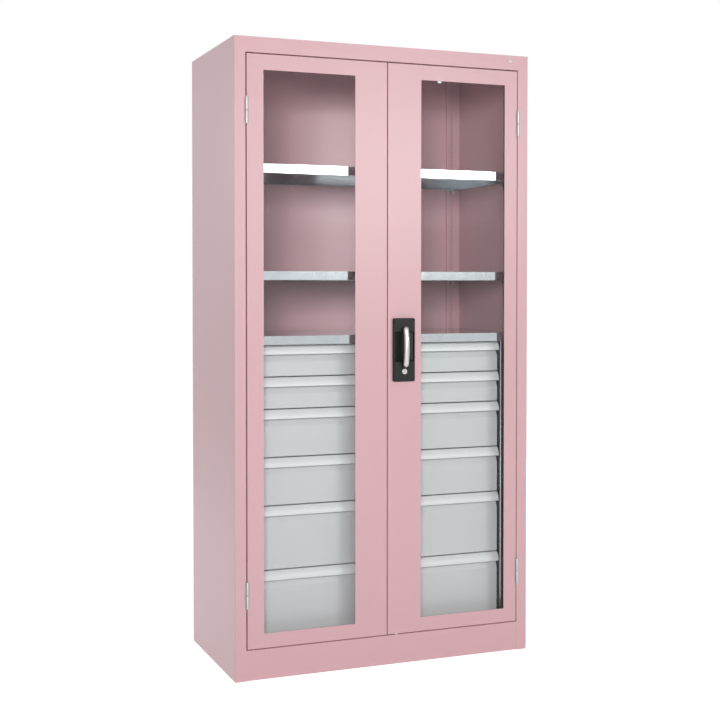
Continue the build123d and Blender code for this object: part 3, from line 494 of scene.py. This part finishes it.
class CABINET_OT_handle_plate(bpy.types.Operator):
    """Makes the moulded plate with its finger dish"""

    bl_idname = "cabinet.handle_plate"
    bl_label = "Handle plate"

    def execute(self, context):
        sizes = context.scene.cabinet_sizes
        low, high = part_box("handle_plate")
        half_x, half_z = (high[0] - low[0]) / 2, (high[2] - low[2]) / 2
        centre_x, centre_z = (high[0] + low[0]) / 2, (high[2] + low[2]) / 2
        edge, corner = sizes.plate_edge, sizes.plate_corner
        dish_half, dish_low, dish_high = half_x - sizes.dish_wall, -sizes.dish_low, sizes.dish_high
        # Lines of the grid lie closest where the form turns: at the rim and at the dish's edges.
        rim = edge * (1 - np.cos(np.linspace(0, math.pi / 2, 7)))
        across = half_x - rim
        inner = np.linspace(dish_half - 0.5 * MM, 0, 22)
        right = np.concatenate([across, np.linspace(across[-1], dish_half, 4)[1:], inner])
        x = np.unique(np.concatenate([-right, right]).round(7))
        ends = np.concatenate([half_z - rim, -(half_z - rim)])
        # A run of lines is its start and end in millimetres and its count; flat runs count from the middle.
        top_run, low_run = (-5, 1, 13), (-4, 9, 20)
        flat_runs = (-95, -45, 9), (-28, 50, 18), (61, 95, 7)
        top_turn = dish_high + np.linspace(*top_run) * MM
        low_turn = dish_low + np.linspace(*low_run) * MM
        flats = np.concatenate([np.linspace(*run) for run in flat_runs]) * MM
        z = np.unique(np.concatenate([ends, top_turn, low_turn, flats]).round(7))
        grid_x, grid_z = np.meshgrid(x, z)
        # Height: the face, less a quarter-round fall at the rim, less the dish.
        inset = np.minimum(half_x - np.abs(grid_x), half_z - np.abs(grid_z))
        fall = edge - np.sqrt(np.clip(edge**2 - np.clip(edge - inset, 0, edge) ** 2, 0, None))
        # Dish: a hollow whose section across is a flat arc, with a steep upper end and a long lower ramp.
        # The power is below a half, which a round section would have, so the hollow's floor is flatter.
        bowl_power = 0.32
        bowl = np.clip(1 - (grid_x / dish_half) ** 2, 0, 1) ** bowl_power
        steep = np.clip((dish_high - grid_z) / sizes.dish_steep, 0, 1)
        ramp = np.clip((grid_z - dish_low) / sizes.dish_ramp, 0, 1)
        depth = sizes.dish_depth * bowl * steep**2 * (3 - 2 * steep) * ramp**2 * (3 - 2 * ramp)
        # Corners: the square corner of the grid is pressed onto a quarter circle.
        flat_x, flat_z = half_x - corner, half_z - corner
        over_x = np.clip(np.abs(grid_x) - flat_x, 0, None) / corner
        over_z = np.clip(np.abs(grid_z) - flat_z, 0, None) / corner
        round_x = np.minimum(np.abs(grid_x), flat_x) + corner * over_x * np.sqrt(1 - over_z**2 / 2)
        round_z = np.minimum(np.abs(grid_z), flat_z) + corner * over_z * np.sqrt(1 - over_x**2 / 2)
        place_x, place_z = centre_x + np.sign(grid_x) * round_x, centre_z + np.sign(grid_z) * round_z
        front = np.stack([place_x, low[1] + fall + depth, place_z], axis=-1)
        back = front.copy()
        back[..., 1] = high[1]
        make_piece("handle_moulding", slab(front, back), "black_plastic", "door_right", ["handle_plate"])
        return {"FINISHED"}


class CABINET_OT_blank_plate(bpy.types.Operator):
    """Makes the blank plate on the top rail"""

    bl_idname = "cabinet.blank_plate"
    bl_label = "Blank plate"

    def execute(self, context):
        sizes = context.scene.cabinet_sizes
        low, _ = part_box("top_rail")
        half_x, half_z = sizes.badge_width / 2, sizes.badge_height / 2
        columns, rows = 25, 13
        line_x, line_z = np.linspace(-half_x, half_x, columns), np.linspace(-half_z, half_z, rows)
        grid_x, grid_z = np.meshgrid(line_x, line_z)
        # A pillow: full thickness inside, falling off in a quarter round at its rim.
        inset = np.minimum(half_x - np.abs(grid_x), half_z - np.abs(grid_z))
        crown = np.sqrt(1 - np.clip(1 - inset / sizes.badge_rim, 0, 1) ** 2)
        place_x, place_z = sizes.badge_across + grid_x, low[2] + sizes.badge_rise + grid_z
        front = np.stack([place_x, low[1] - sizes.badge_thickness * crown, place_z], axis=-1)
        back = front.copy()
        back[..., 1] = low[1]
        make_piece("blank_plate", slab(front, back), "zinc_steel", "cabinet")
        return {"FINISHED"}


class CABINET_OT_seams(bpy.types.Operator):
    """Fills the ground weld seams beside the posts, at top rail and plinth"""

    bl_idname = "cabinet.seams"
    bl_label = "Weld seams"

    def execute(self, context):
        bend = context.scene.cabinet_sizes.post_bend
        low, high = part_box("top_rail")
        # A seam fills the hollow beside the post's bend: flush in front, the bend's quarter circle behind.
        # It stops short of the bend's far end, where the hollow runs out to nothing.
        filled_share, columns = 0.9, 7
        across = np.linspace(0, filled_share * bend, columns)
        hollow = bend - np.sqrt(bend**2 - (bend - across) ** 2)
        seams = []
        for node in ("top_rail", "plinth"):
            ends = [corner[2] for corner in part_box(node)]
            for side in (-1, 1):
                # Backwards on the left side, so that x rises and the faces look outwards.
                grid_x, grid_z = np.meshgrid(side * (high[0] + across)[::side], ends)
                front = np.stack([grid_x, np.full(grid_x.shape, low[1]), grid_z], axis=-1)
                back = front.copy()
                back[..., 1] += hollow[::side]
                seams.append(slab(front, back))
        make_piece("weld_seams", joined(seams), "carcass_paint", "cabinet")
        return {"FINISHED"}


class CABINET_OT_stage(bpy.types.Operator):
    """Sets up floor, sky, softboxes and camera"""

    bl_idname = "cabinet.stage"
    bl_label = "Stage"

    def execute(self, context):
        stage = context.scene.cabinet_stage
        context.scene.view_settings.view_transform = "Standard"
        self.make_floor(context.scene.cabinet_colours.floor)
        self.make_sky(context.scene, stage.sky)
        doors, flank, back, roof = (0.0, -0.2, 1.2), (-0.5, 0.0, 1.2), (0.0, 0.2, 1.2), (0.0, 0.1, 2.0)
        # Name, place, target, width and height, and power of each lamp
        lamps = (
            ("front_softbox", (1.9, -4.6, 2.0), doors, (1.4, 0.8), stage.key),
            ("middle_softbox", (-0.3, -5.2, 1.9), doors, (1.4, 1.4), stage.middle),
            ("left_softbox", (-2.6, -5.6, 2.0), doors, (1.4, 1.4), stage.left),
            ("side_softbox", (-2.9, 2.6, 1.9), flank, (1.0, 1.0), stage.side),
            ("rear_softbox", (2.8, 3.2, 2.2), back, (1.4, 1.4), stage.rear),
            ("top_softbox", (0.0, 0.1, 3.2), roof, (0.4, 0.8), stage.top),
        )
        for lamp in lamps:
            self.make_softbox(*lamp)
        self.make_camera(context.scene, stage)
        return {"FINISHED"}

    def seen(self, tree):
        """1 for the rays of the camera, of gloss and through panes, and 0 for the rest."""
        rays = add_node(tree, "LightPath").outputs
        pair = {0: rays["Is Camera Ray"], 1: rays["Is Glossy Ray"]}
        first = add_node(tree, "Math", pair, operation="MAXIMUM").outputs[0]
        pair = {0: first, 1: rays["Is Transmission Ray"]}
        return add_node(tree, "Math", pair, operation="MAXIMUM").outputs[0]

    def make_floor(self, colour):
        """Flat pale floor: white to the camera, to gloss and through panes, but for the shadow it keeps."""
        reach, glow_share, shadow_share = 14.0, 0.95, 0.9
        material, tree, output, _ = new_material("studio_floor")
        plain = add_node(tree, "BsdfDiffuse", {"Color": (*colour, 1)})
        glow = add_node(tree, "Emission", {"Color": (*colour, 1), "Strength": glow_share})
        shaded = add_node(tree, "BsdfDiffuse", {"Color": (*(c * shadow_share for c in colour), 1)})
        shown = add_node(tree, "AddShader", {0: glow.outputs[0], 1: shaded.outputs[0]})
        mixed = add_node(tree, "MixShader", {0: self.seen(tree), 1: plain.outputs[0], 2: shown.outputs[0]})
        tree.links.new(mixed.outputs[0], output.inputs["Surface"])
        mesh = bpy.data.meshes.new("floor")
        corners = [(-reach, -reach, 0), (reach, -reach, 0), (reach, reach, 0), (-reach, reach, 0)]
        mesh.from_pydata(corners, [], [(0, 1, 2, 3)])
        mesh.materials.append(material)
        floor = bpy.data.objects.new("floor", mesh)
        bpy.context.scene.collection.objects.link(floor)

    def make_sky(self, scene, strength):
        """Even white light; the camera, gloss and panes see it as plain white."""
        world = bpy.data.worlds.new("studio_sky")
        scene.world = world
        world.use_nodes = True
        tree = world.node_tree
        tree.nodes.clear()
        level = add_node(tree, "MapRange", {"Value": self.seen(tree), "To Min": strength, "To Max": 1.0})
        light = add_node(tree, "Background", {"Color": (1, 1, 1, 1), "Strength": level.outputs["Result"]})
        add_node(tree, "OutputWorld", {"Surface": light.outputs[0]})

    def make_softbox(self, name, place, target, size, power):
        """Area lamp that faces its target and that the camera itself doesn't see."""
        lamp = bpy.data.lights.new(name, "AREA")
        lamp.shape = "RECTANGLE"
        lamp.size, lamp.size_y = size
        lamp.energy = power
        softbox = bpy.data.objects.new(name, lamp)
        softbox.location = place
        aim = np.subtract(target, place)
        tilt, turn = math.acos(-aim[2] / np.linalg.norm(aim)), math.atan2(aim[1], aim[0])
        softbox.rotation_euler = (tilt, 0.0, turn - math.pi / 2)
        softbox.visible_camera = False
        bpy.context.scene.collection.objects.link(softbox)

    def make_camera(self, scene, stage):
        camera = bpy.data.cameras.new("camera")
        camera.lens = stage.lens
        camera.sensor_width = 36.0
        camera.shift_x = stage.shift_across
        camera.shift_y = stage.shift_up
        camera_object = bpy.data.objects.new("camera", camera)
        camera_object.location = stage.camera_place
        camera_object.rotation_euler = (math.pi / 2 + stage.camera_pitch, 0.0, -stage.camera_yaw)
        scene.collection.objects.link(camera_object)
        scene.camera = camera_object


class CABINET_PT_sidebar(bpy.types.Panel):
    """Lists the settings and the steps"""

    bl_idname = "CABINET_PT_sidebar"
    bl_label = "Steel cabinet"
    bl_space_type = "VIEW_3D"
    bl_region_type = "UI"
    bl_category = "Cabinet"

    def draw(self, context):
        for group in GROUPS:
            settings = getattr(context.scene, group)
            for name in settings.__annotations__:
                self.layout.prop(settings, name)
        for step in STEPS:
            self.layout.operator(step.bl_idname)


STEPS = (
    CABINET_OT_finish_nodes,
    CABINET_OT_hinges,
    CABINET_OT_lever,
    CABINET_OT_handle_plate,
    CABINET_OT_blank_plate,
    CABINET_OT_seams,
    CABINET_OT_stage,
)
GROUPS = {"cabinet_colours": CabinetColours, "cabinet_sizes": CabinetSizes, "cabinet_stage": CabinetStage}


def register():
    for group in (*GROUPS.values(), *STEPS, CABINET_PT_sidebar):
        bpy.utils.register_class(group)
    for name, group in GROUPS.items():
        setattr(bpy.types.Scene, name, PointerProperty(type=group))


def unregister():
    for name in GROUPS:
        delattr(bpy.types.Scene, name)
    for group in (CABINET_PT_sidebar, *STEPS, *GROUPS.values()):
        bpy.utils.unregister_class(group)


def main():
    register()
    for step in STEPS:
        space, name = step.bl_idname.split(".")
        getattr(getattr(bpy.ops, space), name)()


if __name__ == "__main__":
    main()
